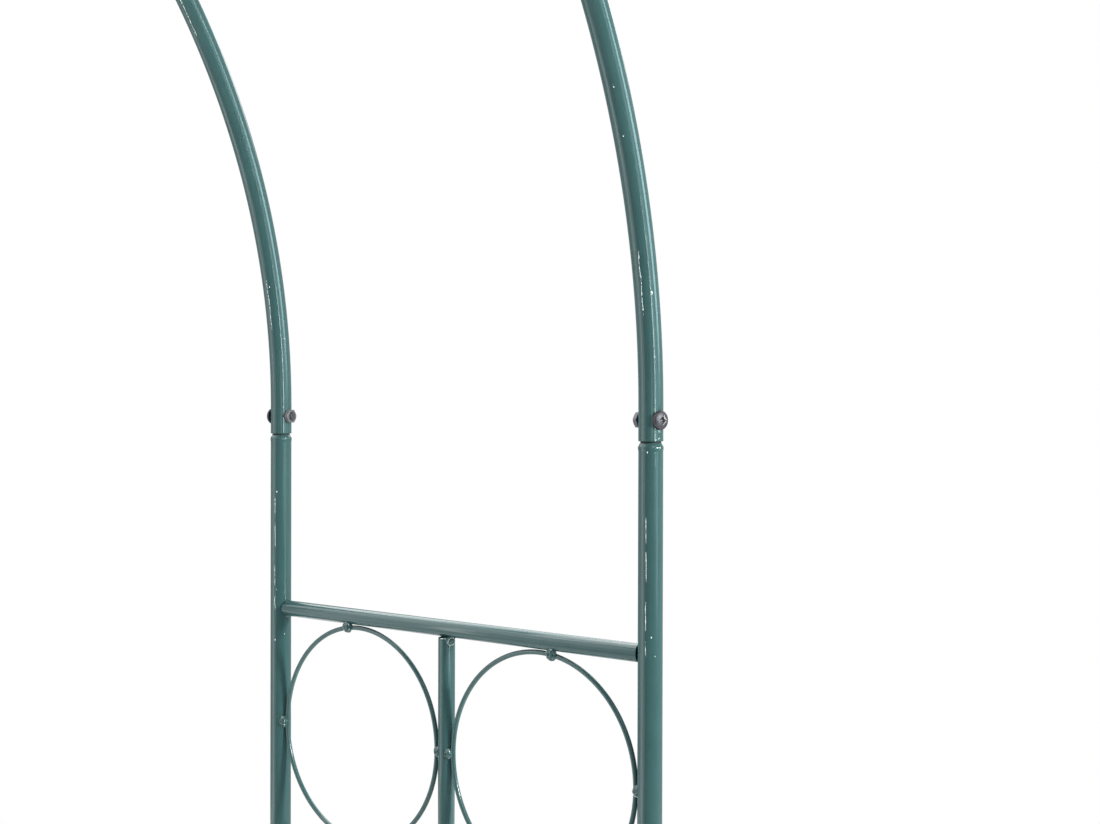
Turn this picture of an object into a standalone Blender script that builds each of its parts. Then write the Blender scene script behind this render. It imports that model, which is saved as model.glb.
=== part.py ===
# Knock-down garden rose arch of round steel tube: two trellis sides and a round roof.
# Each side is a lower and an upper ladder, and the roof is four quarter hoops with cross bars.
# Every tube joint is a swaged neck inside the next tube, cross-drilled for one screw and nut.
# X spans the path, Y runs along the path, Z is up. All lengths are in metres.
import math

import bmesh
import bpy
from mathutils import Matrix, Vector

# Overall size: over the tubes in X and Y, over the crown in Z
WIDTH = 1.140
DEPTH = 0.370
HEIGHT = 2.400

# Tube, bar and rod stock
TUBE_R = 0.008
BAR_R = 0.006
ROD_R = 0.002
WALL = 0.001
GAP = 0.0003
TUBE_SIDES = 12
BAR_SIDES = 10

# Swaged joint, measured from its shoulder; the side screws are drilled a little round towards the path
NECK_R = TUBE_R - WALL - GAP
NECK_LENGTH = 0.028
NECK_LEAD = 0.0015
SHOULDER_LENGTH = 0.0032
BEAD_R = TUBE_R + 0.00025
BEAD_LENGTH = 0.0022
RIM_CHAMFER = 0.0004
RIM_GAP = 0.0006
SCREW_ABOVE_RIM = 0.0139
SCREW_TURN = math.radians(8)

# Pan-head screw with a cross recess, and thin hexagon nut
SCREW_R = 0.003
SCREW_LENGTH = 0.0200
HEAD_R = 0.006
HEAD_HEIGHT = 0.0043
SEAT_DENT = 0.0005
RECESS_SPAN = 0.0056
RECESS_WIDTH = 0.0013
RECESS_DEPTH = 0.0019
NUT_ACROSS_FLATS = 0.010
NUT_THICKNESS = 0.0032
NUT_CORNERS = 6
NUT_CHAMFER_SLOPE = 0.55
SCREW_SIDES = 10
HOLE_SIDES = 8

# Hoops
HOOP_STRAIGHT = 0.021
HOOP_STEPS = 15
ROOF_BAR_ANGLES = {"low": 36.0, "high": 72.0}

# Heights of the joints and of the bars above the ground
HALF_SPAN = WIDTH / 2 - TUBE_R
HALF_DEPTH = DEPTH / 2 - TUBE_R
HOOP_R = HALF_SPAN - HOOP_STRAIGHT
CROWN_Z = HEIGHT - TUBE_R
HOOP_Z = CROWN_Z - HOOP_R - HOOP_STRAIGHT
JOINT_Z = HOOP_Z - RIM_GAP
LOWER_JOINT_Z = JOINT_Z / 2
RAIL_BELOW_JOINT = 0.135
BASE_RAIL_Z = 0.150
BOTTOM_RAIL_ABOVE_JOINT = 0.065

# Rings of round rod, a little proud of the side's middle plane towards the path
RING_PROUD = 0.0015
RING_STEPS = 32
ROD_SIDES = 6

# Foot plugs
FOOT_R = 0.0085
FOOT_FLANGE = 0.003
FOOT_SPIGOT = 0.014
FOOT_CHAMFER = 0.0006

# Derived places of the rings and the bars beside them
TOP_RAIL_Z = JOINT_Z - RAIL_BELOW_JOINT
RING_REACH_TUBE = math.sqrt((TUBE_R + ROD_R) ** 2 - RING_PROUD ** 2) + GAP
RING_REACH_BAR = math.sqrt((BAR_R + ROD_R) ** 2 - RING_PROUD ** 2) + GAP
RING_R = (HALF_DEPTH - RING_REACH_TUBE - RING_REACH_BAR) / 2
RING_Y = RING_REACH_BAR + RING_R
RING_Z = TOP_RAIL_Z - RING_REACH_BAR - RING_R
RING_RAIL_Z = RING_Z - RING_R - RING_REACH_BAR
BOTTOM_RAIL_Z = LOWER_JOINT_Z + BOTTOM_RAIL_ABOVE_JOINT
LOWER_TOP_RAIL_Z = LOWER_JOINT_Z - RAIL_BELOW_JOINT

SIDES = {"left": -1, "right": 1}
ENDS = {"front": -1, "rear": 1}
Y_AXIS = Vector((0, 1, 0))
Z_AXIS = Vector((0, 0, 1))


def clear_scene():
    for old in list(bpy.data.objects):
        bpy.data.objects.remove(old, do_unlink=True)


def material(name, colour, roughness, metallic):
    made = bpy.data.materials.new(name)
    made.use_nodes = True
    shader = made.node_tree.nodes["Principled BSDF"]
    shader.inputs["Base Color"].default_value = (*colour, 1.0)
    shader.inputs["Roughness"].default_value = roughness
    shader.inputs["Metallic"].default_value = metallic
    return made


def smooth(mesh, angle=30.0):
    mesh.shade_smooth()
    mesh.set_sharp_from_angle(angle=math.radians(angle))


def add_object(name, mesh, finish, location=(0, 0, 0), rotation=(0, 0, 0)):
    if not mesh.materials:
        mesh.materials.append(finish)
    made = bpy.data.objects.new(name, mesh)
    made.location = location
    made.rotation_euler = rotation
    bpy.context.collection.objects.link(made)
    return made


def mesh_from(bm, name):
    bmesh.ops.recalc_face_normals(bm, faces=bm.faces)
    mesh = bpy.data.meshes.new(name)
    bm.to_mesh(mesh)
    bm.free()
    smooth(mesh)
    return mesh


# Tube bodies: closed bands of rings, out along the outside and back along the bore

def join_rings(bm, rings):
    sides = len(rings[0])
    for ring, following in zip(rings, rings[1:] + rings[:1]):
        for k in range(sides):
            after = (k + 1) % sides
            bm.faces.new((ring[k], ring[after], following[after], following[k]))


def tube_mesh(name, centre_line, plane_normal, stations, sides):
    bm = bmesh.new()
    rings = []
    for along, radius in stations:
        centre, tangent = centre_line(along)
        across = plane_normal.cross(tangent)
        ring = []
        for k in range(sides):
            turn = 2 * math.pi * k / sides
            offset = plane_normal * math.cos(turn) + across * math.sin(turn)
            ring.append(bm.verts.new(centre + offset * radius))
        rings.append(ring)
    join_rings(bm, rings)
    return mesh_from(bm, name)


def straight_line(start, direction):
    def place(along):
        return start + direction * along, direction
    return place


def socket_end():
    return [(0.0, TUBE_R - RIM_CHAMFER), (RIM_CHAMFER, TUBE_R)]


def swaged_end(length):
    outside = [(length - SHOULDER_LENGTH - BEAD_LENGTH, TUBE_R),
               (length - SHOULDER_LENGTH, BEAD_R),
               (length - SHOULDER_LENGTH * 0.35, TUBE_R - WALL * 0.55),
               (length, NECK_R),
               (length + NECK_LENGTH - NECK_LEAD, NECK_R),
               (length + NECK_LENGTH, NECK_R - WALL * 0.4)]
    inside = [(length + NECK_LENGTH, NECK_R - WALL),
              (length - SHOULDER_LENGTH * 0.35, NECK_R - WALL),
              (length - SHOULDER_LENGTH - BEAD_LENGTH, TUBE_R - WALL)]
    return outside + inside


def plain_end(length):
    return [(length - RIM_CHAMFER, TUBE_R), (length, TUBE_R - RIM_CHAMFER), (length, TUBE_R - WALL)]


def tube_stations(length, bends, swaged):
    middle_out = [(along, TUBE_R) for along in bends]
    middle_in = [(along, TUBE_R - WALL) for along in reversed(bends)]
    far_end = swaged_end(length) if swaged else plain_end(length)
    return socket_end() + middle_out + far_end + middle_in + [(0.0, TUBE_R - WALL)]


def bar_stations(length):
    return [(0.0, BAR_R), (length, BAR_R), (length, BAR_R - WALL), (0.0, BAR_R - WALL)]


# Uprights

def add_upright(name, x, y, bottom, shoulder, finish):
    start = Vector((x, y, bottom))
    length = shoulder - bottom
    stations = tube_stations(length, [], swaged=True)
    mesh = tube_mesh(name, straight_line(Vector(), Z_AXIS), Y_AXIS, stations, TUBE_SIDES)
    return add_object(name, mesh, finish, location=start)


# Straight bars, cut square and butted against round tube

def bar_mesh(name, length):
    return tube_mesh(name, straight_line(Vector(), Z_AXIS), Y_AXIS, bar_stations(length), BAR_SIDES)


def add_cross_bar(name, mesh, x, z, finish):
    half = HALF_DEPTH - TUBE_R - GAP
    return add_object(name, mesh, finish, location=(x, -half, z), rotation=(-math.pi / 2, 0, 0))


def add_mullion(name, x, low_rail, high_rail, finish):
    bottom = low_rail + BAR_R + GAP
    mesh = bar_mesh(name, high_rail - low_rail - 2 * (BAR_R + GAP))
    return add_object(name, mesh, finish, location=(x, 0, bottom))


# Quarter hoops: a short straight at each end and a rolled quarter circle between

def hoop_line(side):
    bend_length = HOOP_R * math.pi / 2
    foot = Vector((side * HALF_SPAN, 0, 0))
    centre = foot + Vector((-side * HOOP_R, 0, HOOP_STRAIGHT))

    def place(along):
        if along <= HOOP_STRAIGHT:
            return foot + Z_AXIS * along, Z_AXIS
        turn = min((along - HOOP_STRAIGHT) / HOOP_R, math.pi / 2)
        tangent = Vector((-side * math.sin(turn), 0, math.cos(turn)))
        point = centre + Vector((side * math.cos(turn), 0, math.sin(turn))) * HOOP_R
        past = max(along - HOOP_STRAIGHT - bend_length, 0.0)
        return point + tangent * past, tangent
    return place


def hoop_mesh(name, side, swaged):
    bend_length = HOOP_R * math.pi / 2
    length = 2 * HOOP_STRAIGHT + bend_length - RIM_GAP / 2
    bends = [HOOP_STRAIGHT + bend_length * k / HOOP_STEPS for k in range(HOOP_STEPS + 1)]
    stations = tube_stations(length, bends, swaged)
    return tube_mesh(name, hoop_line(side), Y_AXIS, stations, TUBE_SIDES)


# Rings: one rod bent round and butt-welded

def add_ring(name, x, y, finish):
    bpy.ops.mesh.primitive_torus_add(major_radius=RING_R, minor_radius=ROD_R,
                                     major_segments=RING_STEPS, minor_segments=ROD_SIDES,
                                     location=(x, y, RING_Z), rotation=(0, math.pi / 2, 0))
    made = bpy.context.object
    made.name = name
    made.data.name = name
    made.data.materials.append(finish)
    smooth(made.data, 75.0)
    return made


# Screws and nuts, along local Z with the screw's head at the top

def turned_bmesh(profile, sides):
    bm = bmesh.new()
    points = [bm.verts.new((radius, 0, height)) for radius, height in profile]
    edges = [bm.edges.new(pair) for pair in zip(points, points[1:])]
    bmesh.ops.spin(bm, geom=points + edges, cent=(0, 0, 0), axis=(0, 0, 1),
                   angle=2 * math.pi, steps=sides)
    bmesh.ops.remove_doubles(bm, verts=bm.verts, dist=1e-6)
    return bm


def combined(name, base, tool, operation):
    first = add_object(name + "_blank", base, None)
    second = add_object(name + "_tool", tool, None)
    cut = first.modifiers.new("cut", 'BOOLEAN')
    cut.operation = operation
    cut.object = second
    depsgraph = bpy.context.evaluated_depsgraph_get()
    result = bpy.data.meshes.new_from_object(first.evaluated_get(depsgraph))
    bpy.data.objects.remove(first, do_unlink=True)
    bpy.data.objects.remove(second, do_unlink=True)
    result.name = name
    result.materials.clear()
    smooth(result)
    return result


def cross_mesh():
    bm = bmesh.new()
    half_span = RECESS_SPAN / 2
    half_width = RECESS_WIDTH / 2
    corners = [(half_width, half_width), (half_width, half_span), (-half_width, half_span),
               (-half_width, half_width), (-half_span, half_width), (-half_span, -half_width),
               (-half_width, -half_width), (-half_width, -half_span), (half_width, -half_span),
               (half_width, -half_width), (half_span, -half_width), (half_span, half_width)]
    outline = [bm.verts.new((x, y, HEAD_HEIGHT + RECESS_DEPTH)) for x, y in corners]
    top = bm.faces.new(outline)
    pulled = bmesh.ops.extrude_face_region(bm, geom=[top])["geom"]
    floor = [item for item in pulled if isinstance(item, bmesh.types.BMVert)]
    for vert in floor:
        vert.co.x *= 0.5
        vert.co.y *= 0.5
        vert.co.z = HEAD_HEIGHT - RECESS_DEPTH
    return mesh_from(bm, "cross_recess")


def screw_mesh():
    dome = [(HEAD_R, 0.0006), (HEAD_R * 0.88, HEAD_HEIGHT * 0.58), (HEAD_R * 0.52, HEAD_HEIGHT * 0.93)]
    profile = [(0.0, -SCREW_LENGTH), (SCREW_R, -SCREW_LENGTH), (SCREW_R, 0.0), (HEAD_R, 0.0)]
    blank = mesh_from(turned_bmesh(profile + dome + [(0.0, HEAD_HEIGHT)], SCREW_SIDES), "screw_blank")
    return combined("screw", blank, cross_mesh(), 'DIFFERENCE')


def nut_mesh():
    flat_r = NUT_ACROSS_FLATS / 2
    corner_r = flat_r / math.cos(math.pi / NUT_CORNERS)
    bore_r = SCREW_R + GAP
    face_r = flat_r * 0.94
    mid_drop = flat_r - face_r
    corner_drop = corner_r - face_r
    outlines = [(bore_r, bore_r, 0.0, 0.0), (corner_r, flat_r, 0.0, 0.0),
                (corner_r, flat_r, corner_drop, mid_drop), (face_r, face_r, 0.0, 0.0),
                (bore_r, bore_r, 0.0, 0.0)]
    heights = [0.0, 0.0, NUT_THICKNESS, NUT_THICKNESS, NUT_THICKNESS]
    bm = bmesh.new()
    rings = []
    for (at_corner, at_flat, drop_corner, drop_flat), height in zip(outlines, heights):
        ring = []
        for k in range(2 * NUT_CORNERS):
            turn = math.pi * k / NUT_CORNERS
            radius, drop = (at_corner, drop_corner) if k % 2 == 0 else (at_flat, drop_flat)
            place = (radius * math.cos(turn), radius * math.sin(turn), height - drop * NUT_CHAMFER_SLOPE)
            ring.append(bm.verts.new(place))
        rings.append(ring)
    join_rings(bm, rings)
    return mesh_from(bm, "nut")


def drill_mesh():
    corner_ratio = math.cos(math.pi / HOLE_SIDES)
    hole_r = (SCREW_R + GAP) / corner_ratio
    pocket_r = (HEAD_R + GAP) / corner_ratio
    reach = 2 * TUBE_R
    seat = TUBE_R - SEAT_DENT
    profile = [(0.0, -reach), (hole_r, -reach), (hole_r, seat), (pocket_r, seat),
               (pocket_r, reach), (0.0, reach)]
    bm = turned_bmesh(profile, HOLE_SIDES)
    half_step = Matrix.Rotation(math.pi / HOLE_SIDES, 3, 'Z')
    bmesh.ops.rotate(bm, verts=bm.verts, cent=(0, 0, 0), matrix=half_step)
    return mesh_from(bm, "drill")


def add_fastening(name, place, end, turn, parts, finishes):
    about_tube = Matrix.Rotation(turn, 4, 'Z')
    outward = about_tube @ Matrix.Rotation(end * -math.pi / 2, 4, 'X')
    inward = about_tube @ Matrix.Rotation(end * math.pi / 2, 4, 'X')
    axis = outward.to_3x3() @ Z_AXIS
    head_seat = place + axis * (TUBE_R - SEAT_DENT + GAP)
    nut_seat = place - axis * (TUBE_R + GAP)
    add_object(name + "_screw", parts["screw"], finishes["screw"], head_seat, outward.to_euler())
    add_object(name + "_nut", parts["nut"], finishes["nut"], nut_seat, inward.to_euler())
    drill = add_object(name + "_drill", parts["drill"], None, place, outward.to_euler())
    drill.hide_render = True
    drill.display_type = 'WIRE'
    return drill


def drill_through(tube, drill):
    cut = tube.modifiers.new("hole", 'BOOLEAN')
    cut.operation = 'DIFFERENCE'
    cut.object = drill


# Foot plugs: a flange under the tube and a spigot in its bore

def foot_mesh():
    spigot_r = TUBE_R - WALL - GAP
    top = FOOT_FLANGE + FOOT_SPIGOT
    profile = [(0.0, 0.0), (FOOT_R - FOOT_CHAMFER, 0.0), (FOOT_R, FOOT_CHAMFER),
               (FOOT_R, FOOT_FLANGE), (spigot_r, FOOT_FLANGE), (spigot_r, top), (0.0, top)]
    return mesh_from(turned_bmesh(profile, TUBE_SIDES), "foot_plug")


def build_ladder_bars(side_name, x, finish):
    cross_bar = bar_mesh("cross_bar", 2 * (HALF_DEPTH - TUBE_R - GAP))
    heights = {"base_rail": BASE_RAIL_Z, "lower_top_rail": LOWER_TOP_RAIL_Z,
               "bottom_rail": BOTTOM_RAIL_Z, "ring_rail": RING_RAIL_Z, "top_rail": TOP_RAIL_Z}
    for bar_name, z in heights.items():
        add_cross_bar(f"{side_name}_{bar_name}", cross_bar, x, z, finish)
    add_mullion(f"{side_name}_lower_mullion", x, BASE_RAIL_Z, LOWER_TOP_RAIL_Z, finish)
    add_mullion(f"{side_name}_upper_mullion", x, BOTTOM_RAIL_Z, RING_RAIL_Z, finish)
    add_mullion(f"{side_name}_ring_mullion", x, RING_RAIL_Z, TOP_RAIL_Z, finish)


def build_roof_bars(side_name, side, finish):
    for bar_name, degrees in ROOF_BAR_ANGLES.items():
        turn = math.radians(degrees)
        x = side * (HALF_SPAN - HOOP_R + HOOP_R * math.cos(turn))
        z = HOOP_Z + HOOP_STRAIGHT + HOOP_R * math.sin(turn)
        mesh = bar_mesh("roof_bar", 2 * (HALF_DEPTH - TUBE_R - GAP))
        add_cross_bar(f"{side_name}_roof_bar_{bar_name}", mesh, x, z, finish)


def build_arch():
    clear_scene()
    paint = material("green_powder_coat", (0.045, 0.118, 0.113), 0.20, 0.0)
    steel = material("zinc_nut", (0.30, 0.30, 0.32), 0.38, 1.0)
    dark_steel = material("black_zinc_screw", (0.060, 0.052, 0.066), 0.25, 1.0)
    plastic = material("black_foot_plastic", (0.012, 0.012, 0.013), 0.55, 0.0)
    finishes = {"screw": dark_steel, "nut": steel}
    parts = {"screw": screw_mesh(), "nut": nut_mesh(), "drill": drill_mesh()}
    feet = foot_mesh()
    hoops = {}

    for side_name, side in SIDES.items():
        x = side * HALF_SPAN
        hoop = hoop_mesh(f"{side_name}_hoop", side, swaged=side < 0)
        for end_name, end in ENDS.items():
            y = end * HALF_DEPTH
            lower = add_upright(f"{side_name}_{end_name}_lower_upright", x, y,
                                FOOT_FLANGE + GAP, LOWER_JOINT_Z, paint)
            upper = add_upright(f"{side_name}_{end_name}_upper_upright", x, y,
                                LOWER_JOINT_Z + RIM_GAP, JOINT_Z, paint)
            quarter = add_object(f"{side_name}_{end_name}_hoop", hoop, paint,
                                 (0, y, HOOP_Z))
            hoops[side_name, end_name] = quarter
            add_object(f"{side_name}_{end_name}_foot_plug", feet, plastic, (x, y, 0))

            joints = {"lower": (LOWER_JOINT_Z, lower, upper), "upper": (JOINT_Z, upper, quarter)}
            for joint_name, (shoulder, inner, outer) in joints.items():
                place = Vector((x, y, shoulder + RIM_GAP + SCREW_ABOVE_RIM))
                drill = add_fastening(f"{side_name}_{end_name}_{joint_name}", place, end,
                                      side * end * SCREW_TURN, parts, finishes)
                drill_through(inner, drill)
                drill_through(outer, drill)
            add_ring(f"{side_name}_{end_name}_ring", x - side * RING_PROUD, end * RING_Y, paint)
        build_ladder_bars(side_name, x, paint)
        build_roof_bars(side_name, side, paint)

    for end_name, end in ENDS.items():
        place = Vector((SCREW_ABOVE_RIM, end * HALF_DEPTH, CROWN_Z))
        drill = add_fastening(f"{end_name}_crown", place, end, 0.0, parts, finishes)
        drill_through(hoops["left", end_name], drill)
        drill_through(hoops["right", end_name], drill)


build_arch()
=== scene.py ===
import random
from math import cos, exp, pi, radians, sin, sqrt, tan, tau

import bmesh
import bpy
from mathutils import Matrix, Vector, noise


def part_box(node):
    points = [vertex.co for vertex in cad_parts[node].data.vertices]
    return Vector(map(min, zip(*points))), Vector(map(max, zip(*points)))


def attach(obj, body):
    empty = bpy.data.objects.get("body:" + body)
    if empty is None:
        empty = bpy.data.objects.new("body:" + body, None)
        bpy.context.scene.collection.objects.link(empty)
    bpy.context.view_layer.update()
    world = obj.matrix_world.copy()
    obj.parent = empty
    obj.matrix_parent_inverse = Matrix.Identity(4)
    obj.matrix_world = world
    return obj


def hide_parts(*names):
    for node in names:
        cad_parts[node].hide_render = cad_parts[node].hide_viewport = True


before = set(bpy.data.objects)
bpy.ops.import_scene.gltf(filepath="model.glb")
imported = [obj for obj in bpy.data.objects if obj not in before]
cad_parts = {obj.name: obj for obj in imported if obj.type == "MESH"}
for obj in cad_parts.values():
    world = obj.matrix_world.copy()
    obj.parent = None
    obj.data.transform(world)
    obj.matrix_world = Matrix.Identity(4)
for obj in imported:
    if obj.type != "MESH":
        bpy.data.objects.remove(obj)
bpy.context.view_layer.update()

# Powder coat
# All the welded steel is sprayed with one blue-green polyester powder and baked. It flows out
# glossy, with a fine orange peel and a slow wave where it ran thick.
PAINT = (0.046, 0.109, 0.111, 1.0)
PAINT_IOR = 1.5
PAINT_ROUGHNESS = 0.13
UNEVEN_ROUGHNESS = 0.06
PEEL_DEPTH = 0.000006
PEELS_PER_METRE = 430.0
SAGS_PER_METRE = 46.0
SAG_TO_PEEL = 5.0


def add_node(tree, kind, values, **settings):
    made = tree.nodes.new(kind)
    for name, setting in settings.items():
        setattr(made, name, setting)
    for socket_name, value in values.items():
        if isinstance(value, bpy.types.NodeSocket):
            tree.links.new(value, made.inputs[socket_name])
        else:
            made.inputs[socket_name].default_value = value
    return made


def field(tree, kind, values, output=0, **settings):
    return add_node(tree, kind, values, **settings).outputs[output]


def reckon(tree, operation, *terms):
    return field(tree, 'ShaderNodeMath', dict(enumerate(terms)), operation=operation)


def times(tree, first, second):
    return reckon(tree, 'MULTIPLY', first, second)


def plus(tree, total, *others):
    for other in others:
        total = reckon(tree, 'ADD', total, other)
    return total


def swing(tree, value, depth):
    """A noise about 0.5 turned into so much up and down."""
    return times(tree, reckon(tree, 'SUBTRACT', value, 0.5), depth)


def grain(tree, per_metre, detail, spot=None):
    """Noise at a spot, or in a node tree for shapes at each point's own place."""
    place = {"Vector": spot} if spot else {}
    return field(tree, 'ShaderNodeTexNoise', {**place, "Scale": per_metre, "Detail": detail})


def spread(tree, value, least, most, first=0.0, last=1.0, **settings):
    """Lays what a value has from first to last over the range from least to most."""
    return field(tree, 'ShaderNodeMapRange', {"Value": value, "From Min": first, "From Max": last,
                                              "To Min": least, "To Max": most}, **settings)


def on_object(tree):
    return field(tree, 'ShaderNodeTexCoord', {}, "Object")


def new_group(name, kind, inputs, outputs):
    tree = bpy.data.node_groups.new(name, kind)
    for direction, sockets in (('INPUT', inputs), ('OUTPUT', outputs)):
        for socket_name, carried in sockets.items():
            tree.interface.new_socket(socket_name, in_out=direction, socket_type='NodeSocket' + carried)
    entry = tree.nodes.new('NodeGroupInput')
    return tree, entry.outputs, tree.nodes.new('NodeGroupOutput').inputs


def powder_coat_group():
    tree, given, result = new_group(
        "powder_coat", 'ShaderNodeTree',
        {"Paint": 'Color', "Base Roughness": 'Float', "Peel Depth": 'Float'},
        {"Colour": 'Color', "Roughness": 'Float', "Height": 'Float'})
    spot = on_object(tree)
    peel = grain(tree, PEELS_PER_METRE, 2.0, spot)
    sag = grain(tree, SAGS_PER_METRE, 2.0, spot)
    fine = swing(tree, peel, given["Peel Depth"])
    slow = swing(tree, sag, times(tree, given["Peel Depth"], SAG_TO_PEEL))
    tree.links.new(plus(tree, fine, slow), result["Height"])
    thickness = spread(tree, sag, 0.90, 1.10)
    tinted = field(tree, 'ShaderNodeVectorMath', {0: given["Paint"], "Scale": thickness}, operation='SCALE')
    tree.links.new(tinted, result["Colour"])
    uneven = swing(tree, grain(tree, 18.0, 3.0, spot), UNEVEN_ROUGHNESS)
    tree.links.new(plus(tree, given["Base Roughness"], uneven), result["Roughness"])
    return tree


powder_coat = powder_coat_group()


def surface_finish(name, **constants):
    made = bpy.data.materials.new(name)
    made.use_nodes = True
    shader = made.node_tree.nodes["Principled BSDF"]
    for socket_name, value in constants.items():
        shader.inputs[socket_name].default_value = value
    return made, made.node_tree, shader.inputs


def dress(tree, shader, colour, roughness, height):
    tree.links.new(colour, shader["Base Color"])
    tree.links.new(roughness, shader["Roughness"])
    bump = field(tree, 'ShaderNodeBump', {"Height": height, "Distance": 1.0, "Strength": 1.0})
    tree.links.new(bump, shader["Normal"])


def coated_finish(name, roughness=PAINT_ROUGHNESS, peel_depth=PEEL_DEPTH, change=None):
    """A finish of the coat, with its colour and height changed for the piece where that is asked."""
    made, tree, shader = surface_finish(name, IOR=PAINT_IOR)
    colour, rough, height = add_node(tree, 'ShaderNodeGroup', {
        "Paint": PAINT, "Base Roughness": roughness, "Peel Depth": peel_depth}, node_tree=powder_coat).outputs
    if change:
        colour, height = change(tree, colour, height)
    dress(tree, shader, colour, rough, height)
    return made


# Uprights
# Two lengths of 16 mm welded steel tube on each corner. The top of each is swaged to a neck with a
# rolled bead under it, and the next tube's rounded rim slides down over the neck to the shoulder.
TUBE_RADIUS = 0.008
WALL = 0.001
TUBE_SEGMENTS = 64
TUBE_EDGE = 0.0004
FIRST_STATION = 0.0012
NECK_RADIUS = 0.0067
NECK_LENGTH = 0.028
NECK_LEAD = 0.0015
NECK_THROAT = 0.007
SHOULDER = 0.0033
SHOULDER_FOOT = 0.0068
SHOULDER_ROUNDING = 0.5
SHOULDER_STEP = 0.00035
BEAD = 0.0024
BEAD_RISE = 0.00025
RIM_ROUND = 0.0003
RIM_SHRINK = 0.0004
RIM_GAP = 0.0006
SCREW_ABOVE_RIM = 0.0139
SCREW_TURN = radians(8)
HOLE_RADIUS = 0.0033
HEAD_FLAT = 0.0003
HEAD_FLAT_REACH = 0.0075
DENSE_REACH = 0.0125
DENSE_STEP = 0.0008
UPRIGHT_PITCH = 0.05
LUMP_DEPTH = 0.00016
LUMPS_PER_METRE = 520
SEAM_TILT = radians(14)
SEAM_RADIUS = 0.00024
SEAM_SUNK = 0.00006
SEAM_STEP = 0.0004
SEAM_TAPER = 0.006
SEAM_BEADS = 650.0
UPRIGHT_SEAMS = ((0.060, 0.118), (0.300, 0.392), (0.560, 0.574), (0.776, 0.791), (0.793, 0.8155),
                 (0.8245, 0.848), (0.849, 0.869))
ROLL_MARKS = (1200.0, 12.0, 0.0)
ROLL_MARK_DEPTH = 0.000008
# A pale colour painted where light would glint: on seam beads, nibs, tack rims and sawn edges.
GLINT_PAINT_PALE = (0.80, 0.91, 0.90, 1.0)
# Nearly black and dark grey painted on the neck as shade in the slot under the rim.
SLOT_SHADE_DARK = (0.010, 0.012, 0.012, 1.0)
SLOT_SHADE_GREY = (0.050, 0.054, 0.054, 1.0)
NIB_RADIUS = 0.00045
NIBS_PER_METRE = 22
CAMERA_SIDE = 215.4
NEAR_NIBS = {"right_front_upper_upright": ((0.779, 23, 0.75), (0.791, 5, 1.0), (0.9102, -16, 0.7),
                                           (0.9083, -16, 0.95), (0.9111, 47, 1.1))}
SHARP = 38
ENDS = {"front": -1, "rear": 1}
SIDES = {"left": -1, "right": 1}
SEAM_ANGLES = {-1: -SEAM_TILT, 1: pi + SEAM_TILT}


def mark_by_rolling(tree, colour, height):
    """Rolling the strip leaves fine marks along the tube, which the coat doesn't fill."""
    surface = field(tree, 'ShaderNodeUVMap', {}, uv_map="surface")
    stretched = field(tree, 'ShaderNodeVectorMath', {0: surface, 1: ROLL_MARKS}, operation='MULTIPLY')
    streaks = field(tree, 'ShaderNodeTexNoise', {"Vector": stretched, "Scale": 1.0, "Detail": 1.0},
                    noise_dimensions='2D')
    return colour, plus(tree, height, times(tree, streaks, ROLL_MARK_DEPTH))


def blend(tree, amount, one, other):
    return field(tree, 'ShaderNodeMix', {0: amount, 6: one, 7: other}, 2, data_type='RGBA')


def painted_glint_finish(name, glint_starts, glint_full):
    """Painted glints: the crests of beads and nibs are painted pale where a noise passes from one value to
    another.
    """
    def paint_glints(tree, colour, height):
        worn = spread(tree, grain(tree, 900.0, 1.0, on_object(tree)), 0.0, 1.0, glint_starts, glint_full)
        return blend(tree, worn, colour, GLINT_PAINT_PALE), height

    return coated_finish(name, change=paint_glints)


def slot_shade_finish():
    """Painted shade: the swaged neck is coloured nearly black with a grey mottle, so the slot under the next
    tube's rim reads dark.
    """
    made, tree, shader = surface_finish("painted_shade_on_neck", Metallic=0.6, Roughness=0.6)
    stain = grain(tree, 500.0, 2.0, on_object(tree))
    tree.links.new(blend(tree, stain, SLOT_SHADE_DARK, SLOT_SHADE_GREY), shader["Base Color"])
    return made


tube_coat = coated_finish("green_coat_on_tube", change=mark_by_rolling)
# Painted glints, pale on the crests of beads and nibs.
glint_painted_coat = painted_glint_finish("green_coat_painted_glints", 0.24, 0.42)
# Painted shade for the neck.
painted_slot_shade = slot_shade_finish()


def skin(bm, rings, closed=True):
    """Faces from each ring of points to the next, and from the last to the first if closed."""
    faces = []
    for ring, following in zip(rings, rings[1:] + rings[:1] if closed else rings[1:]):
        for k in range(len(ring)):
            after = (k + 1) % len(ring)
            faces.append(bm.faces.new((ring[k], ring[after], following[after], following[k])))
    return faces


def sleeve(stations, segments, radius, seam_angle):
    """A closed wall of rings along Z; its UV map measures metres around from the seam and along."""
    bm = bmesh.new()
    surface = bm.loops.layers.uv.new("surface")
    rings = []
    for z, ring_radius in stations:
        angles = [seam_angle + pi + tau * k / segments for k in range(segments)]
        rings.append([bm.verts.new((ring_radius * cos(angle), ring_radius * sin(angle), z))
                      for angle in angles])
    for number, face in enumerate(skin(bm, rings)):
        row, k = divmod(number, segments)
        for loop, (step, at) in zip(face.loops, ((k, row), (k + 1, row), (k + 1, row + 1), (k, row + 1))):
            around = (step / segments - 0.5) * tau * radius
            loop[surface].uv = (around, stations[at % len(stations)][0])
    return bm


def rounded_rim(z, outer, rounding, steps=5):
    """From underneath round to the outside of a lower rim, as heights and radii."""
    arc = []
    for k in range(steps + 1):
        turn = pi / 2 * (1 - k / steps)
        arc.append((z + rounding * (1 - sin(turn)), outer - rounding * (1 - cos(turn))))
    return arc


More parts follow.
